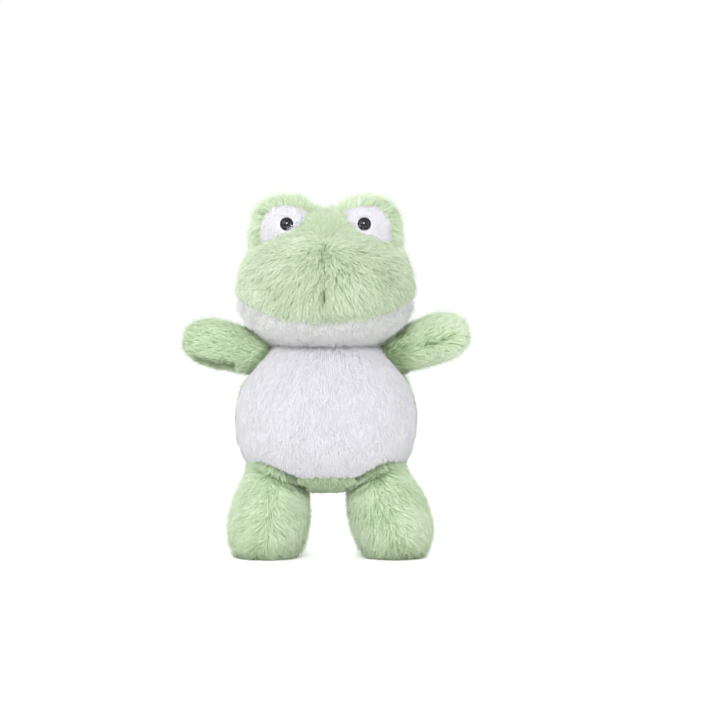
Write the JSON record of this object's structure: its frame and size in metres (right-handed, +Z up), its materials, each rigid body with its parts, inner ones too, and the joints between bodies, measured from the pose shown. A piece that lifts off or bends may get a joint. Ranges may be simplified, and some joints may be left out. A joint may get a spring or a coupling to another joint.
{
  "type": "plush frog",
  "caption": "Plush frog soft toy of long-pile fabric panels over stuffing, with a wide muzzle, raised eyes and a sewn head, arms and legs that bend and spring back.",
  "frame": {"origin": "on the floor under the soles, at the middle of the bounding box", "axes": "+Z up through the head, -Y the way the face looks, +X towards the toy's own left hand"},
  "size_m": [0.2032, 0.1105, 0.2598],
  "materials": {
    "pile_green": "pale green long-pile plush fabric, combed in tufts",
    "pile_white": "white plush fabric with a shorter pile",
    "stuffing": "white polyester fibre filling",
    "eye_plastic": "polished black plastic dome",
    "washer_plastic": "plain natural white plastic",
    "thread": "pale green sewing thread"
  },
  "bodies": {
    "torso": {"belly_panel": "pile_white", "seat_panel": "pile_green", "back_panel_left": "pile_green", "back_panel_right": "pile_green", "torso_stuffing": "stuffing", "closing_stitch": "thread"},
    "neck": {"neck_stuffing": "stuffing"},
    "head": {"chin_panel": "pile_white", "muzzle_panel_left": "pile_green", "muzzle_panel_right": "pile_green", "eye_hood_left": "pile_green", "eye_hood_right": "pile_green", "eye_patch_left": "pile_white", "eye_patch_right": "pile_white", "head_back_left": "pile_green", "head_back_right": "pile_green", "head_stuffing": "stuffing", "eye_left": "eye_plastic", "eye_right": "eye_plastic", "eye_washer_left": "washer_plastic", "eye_washer_right": "washer_plastic"},
    "arm_left": {"arm_left_front": "pile_green", "arm_left_back": "pile_green", "arm_left_stuffing": "stuffing"},
    "arm_right": {"arm_right_front": "pile_green", "arm_right_back": "pile_green", "arm_right_stuffing": "stuffing"},
    "leg_left": {"leg_left_outer": "pile_green", "leg_left_inner": "pile_green", "leg_left_stuffing": "stuffing"},
    "leg_right": {"leg_right_outer": "pile_green", "leg_right_inner": "pile_green", "leg_right_stuffing": "stuffing"}
  },
  "joints": [
    {"name": "neck_turn", "type": "hinge", "parent": "torso", "child": "neck", "pos_m": [0, 0.006, 0.158], "axis": [0, 0, 1], "range_deg": [-30, 30], "stiffness_Nm_per_rad": 0.3},
    {"name": "neck_nod", "type": "hinge", "parent": "neck", "child": "head", "pos_m": [0, 0.006, 0.158], "axis": [1, 0, 0], "range_deg": [-8, 8], "stiffness_Nm_per_rad": 0.5},
    {"name": "shoulder_left", "type": "hinge", "parent": "torso", "child": "arm_left", "pos_m": [0.0495, 0.005, 0.1492], "axis": [0, -1, 0], "range_deg": [-30, 12], "stiffness_Nm_per_rad": 0.05},
    {"name": "shoulder_right", "type": "hinge", "parent": "torso", "child": "arm_right", "pos_m": [-0.048, 0.005, 0.1487], "axis": [0, 1, 0], "range_deg": [-30, 12], "stiffness_Nm_per_rad": 0.05},
    {"name": "hip_left", "type": "hinge", "parent": "torso", "child": "leg_left", "pos_m": [0.036, 0, 0.061], "axis": [-0.9455, 0, -0.3256], "range_deg": [-20, 45], "stiffness_Nm_per_rad": 0.3},
    {"name": "hip_right", "type": "hinge", "parent": "torso", "child": "leg_right", "pos_m": [-0.036, 0, 0.061], "axis": [-0.9848, 0, 0.1736], "range_deg": [-20, 45], "stiffness_Nm_per_rad": 0.3}
  ]
}
